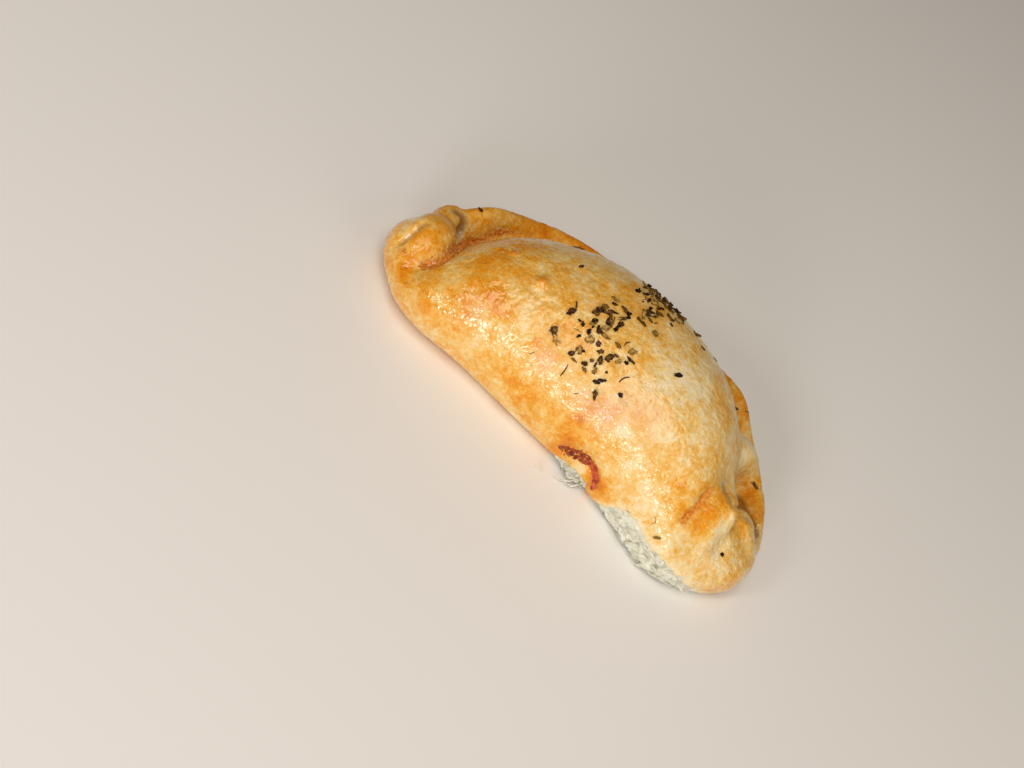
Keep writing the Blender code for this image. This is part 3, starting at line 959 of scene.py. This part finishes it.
for along, turn, wide, round_it, *counts in HANDFULS:
    for kind, count, smallest, largest in zip(bits, counts, SHORTEST, LONGEST):
        for _ in range(count):
            length = rng.uniform(smallest, largest) * MM
            width = rng.uniform(0.1, 0.16) if kind == "stalk" else rng.uniform(0.4, 0.9)
            at = (rng.gauss(along, wide * 0.7), rng.gauss(turn, round_it * 0.7))
            strew(kind, *lands_at(*at), length, width, rng.uniform(0, 2 * math.pi))
for kind, along, turn, length, width, spin in SINGLES:
    strew(kind, *lands_at(along, turn), length * MM, width, math.radians(spin))
for kind, x, y, length, width, spin in ON_RIM:
    strew(kind, *under(from_above(x, y)), length * MM, width, math.radians(spin))

join("scorched_herb_flakes", bits["scorched"], scorched)
join("olive_herb_flakes", bits["olive"], dried)
join("herb_stalks", bits["stalk"], woody)


# --- Studio ---
# A plain pale table under soft light from the front, and a camera that looks down on the fold.

bpy.ops.mesh.primitive_plane_add(size=3, location=(0, 0, low.z - 0.3 * MM))
floor = bpy.context.object
floor.name = "table"
pale, tree = new_material("pale_table")
shader = add(tree, "BsdfPrincipled", {"Base Color": colour("#F8F8F7"), "Roughness": 0.7})
add(tree, "OutputMaterial", {"Surface": shader.outputs[0]})
floor.data.materials.append(pale)

world = bpy.data.worlds.new("studio")
bpy.context.scene.world = world
world.use_nodes = True
world.node_tree.nodes["Background"].inputs["Color"].default_value = colour("#FFEBCC")
world.node_tree.nodes["Background"].inputs["Strength"].default_value = 0.1


def soft_light(name, azimuth, elevation, distance, size, power, tint):
    """A square soft light that points at the empanada."""
    lamp = bpy.data.lights.new(name, "AREA")
    lamp.size = size
    lamp.energy = power
    lamp.color = colour(tint)[:3]
    a, e = math.radians(azimuth), math.radians(elevation)
    way = Vector((math.sin(a) * math.cos(e), -math.cos(a) * math.cos(e), math.sin(e)))
    holder = bpy.data.objects.new(name, lamp)
    holder.location = way * distance
    holder.rotation_euler = (-way).to_track_quat("-Z", "Y").to_euler()
    bpy.context.scene.collection.objects.link(holder)


# Degrees round from the front and up, distance and size in m, power in W
soft_light("key", 5, 12, 1.1, 0.27, 4.05, "#FFF5F6")
soft_light("side", 72, 34, 0.9, 0.5, 1.0, "#FFF0DC")
soft_light("window", -32, 30, 1.1, 0.2, 2.0, "#FFF6F4")
soft_light("top", -8, 66, 0.9, 0.55, 3.5, "#FFF6EA")
soft_light("back", 160, 35, 0.8, 0.5, 0.2, "#FFFFFF")

LENS, SENSOR = 50, 36
DISTANCE = 429.7 * MM
ELEVATION, ROLL = 46, 43.7  # the camera looks down on the fold and is turned on its side
AIM_ACROSS, AIM_UP = -31.1 * MM, -8.5 * MM  # the view's middle, from the empanada's
tilt = math.radians(ELEVATION)
back_way = Vector((0, -math.cos(tilt), math.sin(tilt)))
turned = (-back_way).to_track_quat("-Z", "Y").to_matrix() @ Matrix.Rotation(math.radians(ROLL), 3, "Z")
middle = Vector((0.7 * MM, 0.4 * MM, low.z + 18 * MM))
eye = middle + turned @ Vector((AIM_ACROSS, AIM_UP, 0)) + back_way * DISTANCE
camera = bpy.data.objects.new("camera", bpy.data.cameras.new("camera"))
camera.data.lens = LENS
camera.data.sensor_width = SENSOR
camera.data.clip_start = 0.01
camera.matrix_world = Matrix.Translation(eye) @ turned.to_4x4()
bpy.context.scene.collection.objects.link(camera)
bpy.context.scene.camera = camera
bpy.context.scene.view_settings.view_transform = "Standard"
